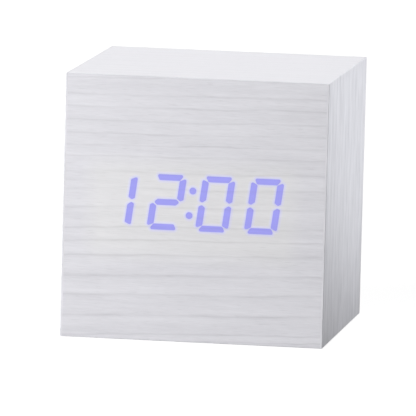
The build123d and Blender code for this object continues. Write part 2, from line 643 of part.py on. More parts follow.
def cell(index):
    """One cell: a can with the nub of its positive end."""
    radius = CELL_DIAMETER / 2
    shoulder = CELL_LENGTH - CELL_NUB_LENGTH
    profile = [
        (0, 0),
        (radius, 0),
        (radius, shoulder),
        (CELL_NUB_DIAMETER / 2, shoulder),
        (CELL_NUB_DIAMETER / 2, CELL_LENGTH),
        (0, CELL_LENGTH),
    ]
    side = cell_side(index)
    base = Vector(side * (CONTACT_FACE - CELL_LENGTH), CELL_Y, CELL_Z[index])
    along = Plane(origin=base, x_dir=(0, 0, 1), z_dir=(side, 0, 0))
    half = Plane(origin=base, x_dir=along.x_dir, z_dir=-along.y_dir)
    return revolve(half * Polygon(*profile, align=None), Axis(base, along.z_dir))


def biarc(start, start_tangent, end, end_tangent):
    """Two tangent arcs between two points with given directions there."""
    chord = end - start
    spread = 2 * (1 - start_tangent.dot(end_tangent))
    along = chord.dot(start_tangent + end_tangent)
    reach = (sqrt(along * along + spread * chord.dot(chord)) - along) / spread
    first = start + start_tangent * reach
    second = end - end_tangent * reach
    middle = (first + second) * 0.5
    return [
        TangentArc(start, middle, tangent=start_tangent),
        TangentArc(middle, end, tangent=(second - first).normalized()),
    ]


def spring(index):
    """Conical contact spring between the end wall's contact and the base of one cell."""
    side = -cell_side(index)
    first = CONTACT_THICKNESS + SPRING_SEAT_GAP + SPRING_WIRE / 2
    rise = SPRING_LENGTH - SPRING_WIRE - 2 * SPRING_SEAT_GAP
    whole = 2 * pi * SPRING_TURNS

    def point(angle):
        share = angle / whole
        radius = SPRING_BASE_RADIUS + (SPRING_TIP_RADIUS - SPRING_BASE_RADIUS) * share
        x = side * (BAY_LENGTH / 2 - first - rise * share)
        return Vector(x, CELL_Y + radius * cos(angle), CELL_Z[index] + radius * sin(angle))

    def tangent(angle):
        step = whole / SPRING_SAMPLES ** 2
        return (point(angle + step) - point(angle - step)).normalized()

    quarters = [whole * k / (4 * SPRING_TURNS) for k in range(4 * SPRING_TURNS + 1)]
    arcs = []
    for angle, after in zip(quarters, quarters[1:]):
        arcs += biarc(point(angle), tangent(angle), point(after), tangent(after))
    samples = [point(whole * k / SPRING_SAMPLES) for k in range(SPRING_SAMPLES + 1)]
    turn = SPRING_SAMPLES // SPRING_TURNS
    near = min((b - a).length for i, a in enumerate(samples) for b in samples[i + turn // 2:])
    print("spring", index, "least gap to itself", round(near - SPRING_WIRE, 3), "mm")
    start = Plane(origin=point(0), z_dir=tangent(0))
    return sweep(start * RegularPolygon(SPRING_WIRE / 2, SPRING_WIRE_SIDES), path=Wire(arcs))


def bend_radii(points):
    """Largest arcs that a route's runs allow, one for each of its corners."""
    radii = []
    for before, corner, after in zip(points, points[1:], points[2:]):
        arriving = Vector(*corner) - Vector(*before)
        leaving = Vector(*after) - Vector(*corner)
        turn = radians(arriving.get_angle(leaving))
        radii.append(BEND_SHARE * min(arriving.length, leaving.length) / tan(turn / 2))
    return radii


def routed(name, points, section):
    """Section carried along straight runs joined by tangent arcs."""
    radii = bend_radii(points)
    print(name, "bend radii", [round(radius, 1) for radius in radii])
    path = FilletPolyline(*points, radius=radii)
    start = Vector(*points[0])
    across = Plane(origin=start, x_dir=(1, 0, 0), z_dir=Vector(*points[1]) - start)
    return sweep(across * section, path=path)


def wiring():
    """Battery leads from the tray's tabs to the control board, and the ribbon between the two boards."""
    tab_x = CONTACT_FACE + CONTACT_THICKNESS / 2
    tab_y = TRAY_FRONT - TAB_REACH
    front_y = tab_y - LEAD_STANDOFF
    rise_z = TRAY_TOP + CONTROL_END_GAP + LEAD_STANDOFF / 2
    wire = RegularPolygon(LEAD_RADIUS, LEAD_SIDES)
    leads = {}
    ends = {"positive_lead": (1, CELL_Z[0]), "negative_lead": (terminal_side(), CELL_Z[-1])}
    for name, (side, z) in ends.items():
        route = [
            (side * tab_x, tab_y, z),
            (side * tab_x, front_y, z),
            (side * (tab_x + LEAD_BOARD_SHIFT) / 2, front_y, (z + rise_z) / 2 + LEAD_STANDOFF / 2),
            (side * LEAD_BOARD_SHIFT, front_y + LEAD_STANDOFF / 2, rise_z),
            (side * LEAD_BOARD_SHIFT, CONTROL_FRONT, rise_z),
        ]
        leads[name] = routed(name, route, wire)
    main_end = MAIN_REAR + SOCKET_DEPTH
    control_end = CONTROL_FRONT - SOCKET_DEPTH
    ribbon_route = [
        (0, control_end, CONTROL_Z),
        (0, control_end - RIBBON_END_RUN, CONTROL_Z),
        (0, main_end + RIBBON_END_RUN, MAIN_SOCKET_Z),
        (0, main_end, MAIN_SOCKET_Z),
    ]
    ribbon = Rectangle(RIBBON_WIDTH, RIBBON_THICKNESS)
    leads["display_ribbon"] = routed("display_ribbon", ribbon_route, ribbon)
    return leads


def assemble():
    """Every piece of the clock by its node's name."""
    pieces = {**case_boards(), **veneers(), **display_module(), **main_electronics()}
    pieces.update(buttons())
    pieces.update(power_jack())
    pieces.update(control_electronics())
    pieces.update(contacts())
    pieces.update(wiring())
    pieces["rear_edging"] = rear_edging()
    pieces["corner_blocks"] = corner_blocks()
    pieces["back_plate"] = back_plate()
    pieces["back_plate_screws"] = back_plate_screws()
    pieces["switch_housings"] = switch_housings()
    pieces["battery_tray"] = battery_tray()
    pieces["battery_door"] = battery_door()
    for index, name in enumerate(CELL_NAMES):
        pieces[name + "_cell"] = cell(index)
        pieces[name + "_spring"] = spring(index)
    return pieces


def main():
    """Writes one file for each node."""
    os.makedirs("parts", exist_ok=True)
    for name, shape in assemble().items():
        whole = Compound(children=shape) if isinstance(shape, list) else shape
        export_step(whole, f"parts/{name}.step")


main()
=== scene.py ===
import json
import math

import bmesh
import bpy
from mathutils import Matrix, Vector


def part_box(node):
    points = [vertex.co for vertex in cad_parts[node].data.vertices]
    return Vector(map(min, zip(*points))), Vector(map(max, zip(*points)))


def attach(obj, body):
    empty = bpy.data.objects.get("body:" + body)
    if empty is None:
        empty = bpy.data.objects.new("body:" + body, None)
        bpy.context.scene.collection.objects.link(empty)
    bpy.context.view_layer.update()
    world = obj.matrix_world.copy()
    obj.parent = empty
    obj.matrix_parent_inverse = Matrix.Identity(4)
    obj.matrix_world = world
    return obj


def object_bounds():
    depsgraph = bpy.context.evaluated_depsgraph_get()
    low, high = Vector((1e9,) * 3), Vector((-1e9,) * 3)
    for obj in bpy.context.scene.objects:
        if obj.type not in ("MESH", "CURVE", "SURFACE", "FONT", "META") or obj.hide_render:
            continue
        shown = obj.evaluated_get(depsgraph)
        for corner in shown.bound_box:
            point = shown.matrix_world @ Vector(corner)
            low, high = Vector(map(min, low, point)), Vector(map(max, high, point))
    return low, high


# Looks of a veneered cube clock: white-washed wood on five faces, lit digits that shine through the front
# veneer, and a moulded back with buttons, a power jack and a battery bay. Metres, +Z up, front along -Y.

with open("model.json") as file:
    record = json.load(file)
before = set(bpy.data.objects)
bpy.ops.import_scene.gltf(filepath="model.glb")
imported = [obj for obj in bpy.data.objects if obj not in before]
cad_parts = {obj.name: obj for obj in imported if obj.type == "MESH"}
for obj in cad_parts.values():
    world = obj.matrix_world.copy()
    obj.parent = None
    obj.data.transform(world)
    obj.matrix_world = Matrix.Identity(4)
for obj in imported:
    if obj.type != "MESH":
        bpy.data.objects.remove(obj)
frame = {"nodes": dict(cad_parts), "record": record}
cad_low, cad_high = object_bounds()

MM = 0.001
CUBE = cad_high.x - cad_low.x
MIDDLE = (cad_low + cad_high) / 2
FRONT_Y = cad_low.y

# View of the photograph: turn about the upright axis, height angle, tilt of the picture, distance and lens
VIEW_TURN = math.radians(8.98)
VIEW_HEIGHT = math.radians(7.235)
VIEW_TILT = math.radians(1.522)
VIEW_DISTANCE = 2.0196
VIEW_LENS = 673.47
VIEW_SENSOR = 36.0
VIEW_SHIFT_RIGHT = -1.876 * MM
VIEW_SHIFT_UP = -3.429 * MM
VIEW_NEAR = 0.1
VIEW_FAR = 20.0

# Digits as they show on the front veneer: place, spacing, slant, level bars, upright posts and colon
TIME_SHOWN = "1200"
DISPLAY_X = -0.86 * MM
DISPLAY_Z = MIDDLE.z + 1.83 * MM
DIGIT_PITCH = 12.59 * MM
DIGIT_SLANT = math.tan(math.radians(7.4))
ROW_SPACING = 6.38 * MM
COLUMN_SPACING = 6.77 * MM
BAR_LENGTH = 7.15 * MM
BAR_STROKE = 1.54 * MM
BAR_SLOPE = 0.93 * MM
MIDDLE_LENGTH = 6.6 * MM
MIDDLE_SLOPE = 0.87 * MM
POST_LENGTH = 6.02 * MM
POST_STROKE = 1.70 * MM
POST_SLOPE = 0.78 * MM
POST_SHIFT = 0.11 * MM
BLUNT_SLOPE = 0.44 * MM
BLUNT_RISE = 0.71 * MM
BLUNT_TIP = 0.1
SEGMENT_ROUND = 0.44 * MM
CORNER_STEPS = 6
COLON_RADIUS = 0.89 * MM
COLON_OFFSET = 3.18 * MM

# How far the digits' light and its glow stand out of the veneer and reach into it, and the glow's width
LIGHT_PROUD = 0.03 * MM
LIGHT_SINK = 0.2 * MM
GLOW_PROUD = 0.02 * MM
GLOW_SINK = 0.004 * MM
GLOW_WIDTH = 0.85 * MM

# Seven segments: column and row of the middle, and the turn that puts the long edge outwards
SEGMENTS = {
    "a": (0, 1, 0),
    "b": (0.5, 0.5, -90),
    "c": (0.5, -0.5, -90),
    "d": (0, -1, 180),
    "e": (-0.5, -0.5, 90),
    "f": (-0.5, 0.5, 90),
    "g": (0, 0, 0),
}
NUMERALS = {"0": "abcdef", "1": "bc", "2": "abdeg"}

# Pale inlaid signs on the buttons: sides, size, turn and corner radius of each, and how far they stand out
BUTTON_MARKS = {
    "set_button": (12, 0.62 * MM, 0.0, 0.3 * MM),
    "up_button": (3, 1.25 * MM, 90.0, 0.15 * MM),
    "down_button": (3, 1.25 * MM, -90.0, 0.15 * MM),
}
MARK_RISE = 0.05 * MM
MARK_SINK = 0.1 * MM

# Wood: gloss, depth of the relief, roughness, and the spans of darkness that roughness and colour follow
WOOD_GLOSS = 0.25
WOOD_RELIEF = 0.03 * MM
WOOD_ROUGHNESS = (0.58, 0.74)
ROUGH_SPAN = (-0.4, 0.8)
DARK_SPAN = (-0.5, 1.0)
WASHED_WOOD = (0.850, 0.845, 0.889)
WASHED_SHADE = (0.612, 0.607, 0.644)
RAW_WOOD = (0.56, 0.40, 0.22)
RAW_SHADE = (0.42, 0.27, 0.13)

# Streaks of the veneer: length along the grain and width across it in millimetres, and strength
FRONT_STREAKS = ((3.0, 0.3, 0.5), (9.0, 0.8, 0.5), (60.0, 2.4, 0.8))
SIDE_STREAKS = ((4.0, 0.9, 0.45), (8.0, 3.0, 1.1), (22.0, 6.5, 0.7))
TOP_STREAKS = ((14.0, 0.5, 0.3), (50.0, 2.0, 0.2))

# Pores of the veneer: length and width in millimetres, strength, and the span of noise that makes them
PORE_LENGTH = 3.0
PORE_WIDTH = 0.24
PORE_STRENGTH = 0.3
PORE_SPAN = (0.6, 0.75)
PORE_SHIFT = 0.5

# Heights in millimetres at which the front's dark growth lines cross its middle
GROWTH_LINES = (
    1.8, 6.8, 12.1, 17.0, 22.3, 26.0, 29.3, 34.5, 39.2, 43.4, 47.6, 50.5, 53.5, 56.6, 60.0, 63.0, 67.5,
)

# The front's growth lines at its lower and upper edge: rise to the right, and strength
LINE_RISE = (0.044, 0.009)
LINE_STRENGTH = (0.88, 0.52)

# Growth lines of the other faces: usual gap, and strength
EVEN_GAP = 5.6 * MM
SIDE_LINES = 0.75
TOP_LINES = 0.2

# Profile of a growth line, in shares of the gap: soft side, the power of its fall, and sharp side
LINE_SOFT = 0.2
LINE_FALL = 2.0
LINE_SHARP = 0.1

# Waves of the growth lines: length and reach in millimetres
FRONT_WAVES = ((26.0, 0.8), (6.0, 0.25))
EVEN_WAVES = ((36.0, 3.0), (9.0, 0.45))

# Fading along a growth line: length and width in millimetres, shift, span and detail of its noise, and the
# least strength
FADE_LENGTH = 14.0
FADE_WIDTH = 2.5
FADE_SHIFT = 6.0
FADE_SPAN = (0.32, 0.68)
FADE_DETAIL = 3.0
FADE_LEAST = 0.3

# Faces beside the front: axis of the grain, streaks, strength of the growth lines, and shift of the pattern
FACES = {
    "top": ("X", TOP_STREAKS, TOP_LINES, 3.0),
    "bottom": ("X", SIDE_STREAKS, SIDE_LINES, 5.2),
    "left": ("Z", SIDE_STREAKS, SIDE_LINES, 7.7),
    "right": ("Z", SIDE_STREAKS, SIDE_LINES, 9.45),
}
EDGING_SHIFT = 2.0
RAW_SHIFT = 4.0

# Joint between the strips of the rear edging: width of the line, and its darkness
MITRE_LINE = 0.15 * MM
MITRE_DARK = 0.9

# Painted light of the display through the front veneer, a paler patch over its window: middle, half sizes,
# edge, share and colour
PATCH_X = -0.6 * MM
PATCH_Z = 33.6 * MM
PATCH_HALF_WIDTH = 26.5 * MM
PATCH_HALF_HEIGHT = 12.1 * MM
PATCH_EDGE = 2.5 * MM
PAINTED_GLOW_SHARE = 0.155
PAINTED_GLOW_WOOD = (1.0, 1.0, 0.89)

# Light of the digits: gloss and roughness of the lit veneer, its strength from pale to dark wood, colours
LIT_GLOSS = 0.2
LIT_ROUGHNESS = 0.6
LIT_SPAN = (-0.3, 0.9)
LIT_STRENGTH = (1.06, 0.88)
DIGIT_BODY = (0.10, 0.10, 0.25)
DIGIT_LIGHT = (0.262, 0.257, 0.640)
GLOW_LIGHT = (0.04, 0.04, 0.22)
GLOW_TINT = 0.2
GLOW_FALL = 2.0

# Usual reach of a noise, and the detail and roughness of a fine one
NOISE_REACH = (0.3, 0.7)
FINE_DETAIL = 3.0
FINE_ROUGHNESS = 0.6

# Speckled finishes: colour, colour of the specks, specks per metre, roughness and depth of the relief
SPECKLED = {
    "fibreboard": ((0.36, 0.245, 0.145), (0.25, 0.16, 0.09), 2600.0, 0.85, 0.05 * MM),
    "switch_plunger": ((0.03, 0.03, 0.03), (0.045, 0.045, 0.045), 3000.0, 0.4, 0.0),
    "white_plastic": ((0.78, 0.78, 0.76), (0.72, 0.72, 0.70), 2000.0, 0.4, 0.0),
    "clear_lens": ((0.80, 0.82, 0.84), (0.74, 0.77, 0.80), 900.0, 0.3, 0.0),
    "frosted_film": ((0.85, 0.85, 0.85), (0.80, 0.80, 0.80), 5000.0, 0.6, 0.0),
    "led_phosphor": ((0.80, 0.72, 0.30), (0.72, 0.62, 0.22), 4000.0, 0.35, 0.0),
    "black_epoxy": ((0.018, 0.018, 0.018), (0.03, 0.03, 0.03), 6000.0, 0.55, 0.0),
    "red_wire": ((0.42, 0.02, 0.015), (0.36, 0.015, 0.012), 2500.0, 0.42, 0.0),
    "black_wire": ((0.015, 0.015, 0.015), (0.025, 0.025, 0.025), 2500.0, 0.42, 0.0),
    "grey_ribbon": ((0.36, 0.36, 0.38), (0.30, 0.30, 0.32), 1800.0, 0.5, 0.0),
}
SPECK_DETAIL = 4.0
SPECK_ROUGHNESS = 0.65
SPECK_SPAN = (0.35, 0.7)
SPECK_SPREAD = 0.06

# Brushed metals: colour, axis of the drawing marks and roughness
METALS = {
    "bright_metal": ((0.60, 0.58, 0.54), "Z", 0.24),
    "aluminium_can": ((0.62, 0.62, 0.64), "Y", 0.3),
    "zinc_steel": ((0.44, 0.45, 0.47), "Y", 0.32),
}

# Drawing marks: marks per metre, share of that along them, shade, spread of the roughness, and depth
DRAWN_MARKS = 4200.0
DRAWN_STRETCH = 0.03
DRAWN_SHADE = 0.8
DRAWN_SMOOTHER = 0.08
DRAWN_ROUGHER = 0.1
DRAWN_DEPTH = 0.003 * MM

# Screws of the back: depths between which painted shade darkens the cross recess, and how dark, in what
# colour
PAINTED_RECESS_SPAN = (0.1 * MM, 0.5 * MM)
PAINTED_RECESS_SHARE = 0.9
PAINTED_RECESS_SHADE = (0.03, 0.03, 0.032)

# Moulded black plastic: gloss, colours, roughness, clouds per metre, and grains and depth of the etching
BLACK_GLOSS = 0.4
BLACK_DEEP = (0.011, 0.011, 0.012)
BLACK_PALE = (0.019, 0.019, 0.020)
BLACK_ROUGHNESS = (0.40, 0.50)
BLACK_CLOUDS = 60.0
ETCHED_GRAINS = 3000.0
ETCHED_DEPTH = 0.09 * MM

# Circuit board: gloss, roughness, colours of the mask without and with copper, and the copper's pattern
BOARD_GLOSS = 0.5
BOARD_ROUGHNESS = 0.32
BOARD_MASK = (0.012, 0.10, 0.05)
BOARD_COPPER = (0.02, 0.16, 0.075)
COPPER_CELLS = 260.0
COPPER_SPAN = (0.38, 0.42)
COPPER_HEIGHT = 0.02 * MM

# Cells: side of the bay that each nub points to, where the pale band and the wrap end, and the wrap's look
CELL_SIDES = {"upper_cell": 1.0, "middle_cell": -1.0, "lower_cell": 1.0}
CELL_BAND = (14.5 * MM, 17.5 * MM)
CELL_WRAP_END = 20.9 * MM
CELL_GLOSS = 0.5
CELL_METALLIC = 0.4
CELL_ROUGHNESS = (0.24, 0.34)
CELL_BODY = (0.045, 0.085, 0.115)
CELL_FLECK = (0.060, 0.105, 0.140)
CELL_PALE = (0.46, 0.48, 0.48)
CELL_STEEL = (0.50, 0.50, 0.50)
FLECK_STRETCH = (0.1, 1.0, 1.0)
FLECKS = 3000.0

# Studio: place, size and power of each soft lamp, and the spot lamp that lights the right side from above
LAMPS = {
    "key_lamp": ((-0.47, -0.46, 0.185), 0.3, 4.49),
    "top_lamp": ((0.33, 0.05, 1.0), 0.7, 4.75),
    "rear_lamp": ((-0.30, 1.10, 0.24), 0.6, 4.8),
}
SPOT_PLACE = (0.55, 0.18, 0.14)
SPOT_AIM = (0.034, 0.036, 0.137)
SPOT_CONE = math.radians(32.4)
SPOT_BLEND = 0.6
SPOT_SIZE = 0.02
SPOT_POWER = 7.5
SPOT_COLOUR = (0.96, 0.98, 1.0)

# Even light of the world and its colour, and the floor's own light, shadow, bounce and size
AMBIENT = 0.12
WHITE = (1.0, 1.0, 1.0, 1.0)
FLOOR_GLOW = 0.84
FLOOR_SHADOW = 0.26
FLOOR_BOUNCE = 0.35
FLOOR_SIZE = 8.0


class Finish:
    """Node tree of one material, with a short call for each kind of node that the finishes share."""

    def __init__(self, name, **sockets):
        self.material = bpy.data.materials.new(name)
        self.material.use_nodes = True
        self.tree = self.material.node_tree
        self.shader = self.tree.nodes["Principled BSDF"]
        self.place = self.node("TexCoord").outputs["Object"]
        for socket, value in sockets.items():
            self.surface(socket.replace("_", " "), value)

    def put(self, socket, value):
        """Links an output to a socket, or sets a constant on it."""
        if isinstance(value, bpy.types.NodeSocket):
            self.tree.links.new(value, socket)
        elif hasattr(socket.default_value, "__len__") and len(socket.default_value) == 4:
            socket.default_value = (*value, 1.0)
        else:
            socket.default_value = value

    def node(self, kind, inputs=None, **settings):
        """A new node of one kind, with its inputs and settings."""
        made = self.tree.nodes.new("ShaderNode" + kind)
        for name, value in settings.items():
            setattr(made, name, value)
        for name, value in (inputs or {}).items():
            self.put(made.inputs[name], value)
        return made

    def surface(self, socket, value):
        """Gives one socket of the material's shader an output or a constant."""
        self.put(self.shader.inputs[socket], value)

    def colour(self):
        """The output that is linked to the shader's colour."""
        return self.shader.inputs["Base Color"].links[0].from_socket

    def math(self, operation, first, second=0.0):
        """Result of one operation on two values."""
        return self.node("Math", {0: first, 1: second}, operation=operation).outputs[0]

    def axes(self):
        """The three coordinates of the shaded point, in metres."""
        return self.node("SeparateXYZ", {0: self.place}).outputs

    def stretch(self, scale, shift=0.0):
        """The shaded point with each coordinate multiplied, then shifted."""
        inputs = {0: self.place, 1: scale, 2: (shift, shift, shift)}
        return self.node("VectorMath", inputs, operation="MULTIPLY_ADD").outputs[0]

    def noise(self, vector, scale=1.0, detail=2.0, roughness=0.5):
        """Soft noise between 0 and 1, round 0.5."""
        inputs = {"Vector": vector, "Scale": scale, "Detail": detail, "Roughness": roughness}
        return self.node("TexNoise", inputs).outputs[0]

    def long_noise(self, along, length, width, shift=0.0, detail=2.0):
        """Noise drawn out along one axis; its length and width are in millimetres."""
        sizes = {"X": width, "Y": width, "Z": width}
        sizes[along] = length
        scale = tuple(1 / (size * MM) for size in sizes.values())
        return self.noise(self.stretch(scale, shift), detail=detail)

    def range(self, value, low, high, to_low, to_high):
        """Value mapped from one span to another, without going past its ends."""
        inputs = {"Value": value, "From Min": low, "From Max": high, "To Min": to_low, "To Max": to_high}
        return self.node("MapRange", inputs).outputs[0]

    def curve(self, value, points):
        """Value led through a piecewise straight curve, given as points between 0 and 1."""
        made = self.node("FloatCurve", {"Value": value})
        line = made.mapping.curves[0]
        line.points[0].location = points[0]
        line.points[-1].location = points[-1]
        for point in points[1:-1]:
            line.points.new(*point)
        for point in line.points:
            point.handle_type = "VECTOR"
        made.mapping.update()
        return made.outputs[0]

    def blend(self, factor, first, second):
        """Colour between two colours."""
        made = self.node("Mix", data_type="RGBA")
        self.put(made.inputs["Factor"], factor)
        self.put(made.inputs[6], first)
        self.put(made.inputs[7], second)
        return made.outputs[2]

    def relief(self, height, depth):
        """Bump whose full height is a depth in metres."""
        self.surface("Normal", self.node("Bump", {"Height": height, "Distance": depth}).outputs[0])


def streaks(finish, along, layers, shift=0.0):
    """Streaks along one axis, in layers: a value round 0 that is higher where the wood is darker."""
    total = None
    for length, width, strength in layers:
        noise = finish.long_noise(along, length, width, shift)
        part = finish.math("MULTIPLY", finish.math("SUBTRACT", noise, 0.5), strength)
        total = part if total is None else finish.math("ADD", total, part)
    return total


def pores(finish, along, shift):
    """Short dark dashes along one axis, from 0 to 1."""
    noise = finish.long_noise(along, PORE_LENGTH, PORE_WIDTH, shift + PORE_SHIFT, detail=1.0)
    return finish.range(noise, *PORE_SPAN, 0.0, 1.0)


def bare_grain(finish, along, layers, shift):
    """Streaks and pores of a veneer without its growth lines."""
    dots = finish.math("MULTIPLY", pores(finish, along, shift), PORE_STRENGTH)
    return finish.math("ADD", streaks(finish, along, layers, shift), dots)


def waved(finish, level, along, waves):
    """A height with slow and fast waves along one axis added to it; each wave has a length and a reach."""
    for length, reach in waves:
        wave = finish.long_noise(along, length, length / 2)
        level = finish.math("ADD", level, finish.range(wave, 0.0, 1.0, -reach * MM, reach * MM))
    return level


def dark_lines(finish, phase, along):
    """Lines where a count is whole, from 0 to 1, sharp on one side and uneven in strength along them."""
    part = finish.math("FRACT", phase)
    soft = finish.math("POWER", finish.range(part, 1.0 - LINE_SOFT, 1.0, 0.0, 1.0), LINE_FALL)
    line = finish.math("MAXIMUM", finish.range(part, 0.0, LINE_SHARP, 1.0, 0.0), soft)
    fade = finish.long_noise(along, FADE_LENGTH, FADE_WIDTH, FADE_SHIFT, FADE_DETAIL)
    return finish.math("MULTIPLY", line, finish.range(fade, *FADE_SPAN, FADE_LEAST, 1.0))


def front_lines(finish):
    """Growth lines of the front, at given heights and rising a little to the right."""
    x, _, z = finish.axes()
    height = finish.math("DIVIDE", z, CUBE)
    rise = finish.range(height, 0.0, 1.0, *LINE_RISE)
    level = finish.math("SUBTRACT", z, finish.math("MULTIPLY", x, rise))
    level = waved(finish, level, "X", FRONT_WAVES)
    count = len(GROWTH_LINES) + 1
    knots = [(line * MM / CUBE, (index + 1) / count) for index, line in enumerate(GROWTH_LINES)]
    phase = finish.curve(finish.math("DIVIDE", level, CUBE), [(0.0, 0.0), *knots, (1.0, 1.0)])
    lines = dark_lines(finish, finish.math("MULTIPLY", phase, count), "X")
    return finish.math("MULTIPLY", lines, finish.range(height, 0.0, 1.0, *LINE_STRENGTH))


def even_lines(finish, along, strength, shift):
    """Growth lines of the other faces, side by side in depth with uneven gaps."""
    _, y, _ = finish.axes()
    count = finish.math("DIVIDE", waved(finish, y, along, EVEN_WAVES), EVEN_GAP)
    return finish.math("MULTIPLY", dark_lines(finish, finish.math("ADD", count, shift), along), strength)


def cover_wood(finish, dark, colours=(WASHED_WOOD, WASHED_SHADE)):
    """Gives a finish the colour, roughness and relief of wood; the value is higher where it is darker."""
    finish.surface("Base Color", finish.blend(finish.range(dark, *DARK_SPAN, 0.0, 1.0), *colours))
    finish.surface("Roughness", finish.range(dark, *ROUGH_SPAN, *WOOD_ROUGHNESS))
    finish.relief(finish.math("MULTIPLY", dark, -1.0), WOOD_RELIEF)


def painted_glow_patch(finish):
    """Mask of the painted display glow: 1 over the display's window, falling to 0 across a soft edge."""
    x, _, z = finish.axes()
    inside = 1.0
    for place, middle, half in ((x, PATCH_X, PATCH_HALF_WIDTH), (z, PATCH_Z, PATCH_HALF_HEIGHT)):
        off = finish.math("ABSOLUTE", finish.math("SUBTRACT", place, middle))
        part = finish.range(off, half - PATCH_EDGE, half + PATCH_EDGE, 1.0, 0.0)
        inside = finish.math("MULTIPLY", part, inside)
    return inside


def front_wood(name):
    """Front veneer with level grain, and painted light of the display behind it: a paler patch over its
    window.
    """
    finish = Finish(name, Specular_IOR_Level=WOOD_GLOSS)
    cover_wood(finish, finish.math("ADD", bare_grain(finish, "X", FRONT_STREAKS, 0.0), front_lines(finish)))
    wood = finish.colour()
    # Painted light: the wood turns paler over the display's window, standing in for the display's glow
    # through the veneer
    pale = finish.math("MULTIPLY", painted_glow_patch(finish), PAINTED_GLOW_SHARE)
    finish.surface("Base Color", finish.blend(pale, wood, PAINTED_GLOW_WOOD))
    return finish


def face_wood(name, along, layers, strength, shift):
    """Veneer of another face, with its grain along one axis and growth lines of a given strength."""
    finish = Finish(name, Specular_IOR_Level=WOOD_GLOSS)
    lines = even_lines(finish, along, strength, shift)
    cover_wood(finish, finish.math("ADD", bare_grain(finish, along, layers, shift), lines))
    return finish


def edging_wood(name):
    """Strips round the back: the grain follows each strip, level or upright, up to a dark mitred joint."""
    finish = Finish(name, Specular_IOR_Level=WOOD_GLOSS)
    x, _, z = finish.axes()
    height = finish.math("ABSOLUTE", finish.math("SUBTRACT", z, MIDDLE.z))
    upright = finish.math("GREATER_THAN", finish.math("ABSOLUTE", x), height)
    level_grain = bare_grain(finish, "X", FRONT_STREAKS, EDGING_SHIFT)
    upright_grain = bare_grain(finish, "Z", FRONT_STREAKS, EDGING_SHIFT)
    change = finish.math("MULTIPLY", finish.math("SUBTRACT", upright_grain, level_grain), upright)
    off_mitre = finish.math("ABSOLUTE", finish.math("SUBTRACT", finish.math("ABSOLUTE", x), height))
    joint = finish.range(off_mitre, 0.0, MITRE_LINE, MITRE_DARK, 0.0)
    cover_wood(finish, finish.math("ADD", finish.math("ADD", level_grain, change), joint))
    return finish


def raw_wood(name):
    """Untreated softwood, with its grain along Y."""
    finish = Finish(name, Specular_IOR_Level=WOOD_GLOSS)
    cover_wood(finish, bare_grain(finish, "Y", SIDE_STREAKS, RAW_SHIFT), (RAW_WOOD, RAW_SHADE))
    return finish


def lit_wood(name):
    """Veneer with the display's light coming through it, a little uneven with the grain."""
    finish = Finish(name, Specular_IOR_Level=LIT_GLOSS, Roughness=LIT_ROUGHNESS)
    finish.surface("Base Color", DIGIT_BODY)
    finish.surface("Emission Color", DIGIT_LIGHT)
    dark = finish.math("ADD", streaks(finish, "X", FRONT_STREAKS), front_lines(finish))
    finish.surface("Emission Strength", finish.range(dark, *LIT_SPAN, *LIT_STRENGTH))
    return finish


def glowing_wood(name):
    """Front veneer round a lit segment: the same grain, tinted by light that fades away from it."""
    finish = front_wood(name)
    near = finish.node("Attribute", attribute_name="glow").outputs["Fac"]
    wood = finish.colour()
    tint = finish.range(finish.math("POWER", near, GLOW_FALL), 0.0, 1.0, 0.0, GLOW_TINT)
    finish.surface("Base Color", finish.blend(tint, wood, DIGIT_BODY))
    finish.surface("Emission Color", GLOW_LIGHT)
    finish.surface("Emission Strength", near)
    return finish


def speckled(name, colour, speck, scale, roughness, depth):
    """Even material with fine specks of a second colour, and a relief to match where it has a depth."""
    finish = Finish(name)
    specks = finish.noise(finish.place, scale, SPECK_DETAIL, SPECK_ROUGHNESS)
    finish.surface("Base Color", finish.blend(finish.range(specks, *SPECK_SPAN, 0.0, 1.0), colour, speck))
    spread = (roughness - SPECK_SPREAD, roughness + SPECK_SPREAD)
    finish.surface("Roughness", finish.range(specks, *NOISE_REACH, *spread))
    if depth:
        finish.relief(specks, depth)
    return finish


def moulded_black(name):
    """Black plastic with the fine etched texture of a moulded cover."""
    finish = Finish(name, Specular_IOR_Level=BLACK_GLOSS)
    etched = finish.noise(finish.place, ETCHED_GRAINS, FINE_DETAIL, FINE_ROUGHNESS)
    cloud = finish.noise(finish.place, BLACK_CLOUDS, FINE_DETAIL)
    finish.surface("Base Color", finish.blend(cloud, BLACK_DEEP, BLACK_PALE))
    finish.surface("Roughness", finish.range(cloud, *NOISE_REACH, *BLACK_ROUGHNESS))
    finish.relief(etched, ETCHED_DEPTH)
    return finish


def brushed_metal(name, colour, along, roughness):
    """Metal with fine drawing marks along one axis."""
    finish = Finish(name, Metallic=1.0)
    marks = {"X": 1.0, "Y": 1.0, "Z": 1.0}
    marks[along] = DRAWN_STRETCH
    drawn = finish.noise(finish.stretch(tuple(marks.values())), DRAWN_MARKS, FINE_DETAIL, FINE_ROUGHNESS)
    darker = tuple(DRAWN_SHADE * part for part in colour)
    finish.surface("Base Color", finish.blend(finish.range(drawn, *NOISE_REACH, 0.0, 1.0), darker, colour))
    spread = (roughness - DRAWN_SMOOTHER, roughness + DRAWN_ROUGHER)
    finish.surface("Roughness", finish.range(drawn, *NOISE_REACH, *spread))
    finish.relief(drawn, DRAWN_DEPTH)
    return finish


def screw_steel(name, node, values):
    """Plated steel of the back's screws, with painted shade down in their cross recesses."""
    finish = brushed_metal(name, *values)
    _, y, _ = finish.axes()
    _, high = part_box(node)
    depth = finish.math("SUBTRACT", high.y, y)
    # Painted shade: the colour darkens with depth below the head, standing in for the shadow inside the
    # cross recess
    painted_shade = finish.range(depth, *PAINTED_RECESS_SPAN, 0.0, PAINTED_RECESS_SHARE)
    finish.surface("Base Color", finish.blend(painted_shade, finish.colour(), PAINTED_RECESS_SHADE))
    return finish


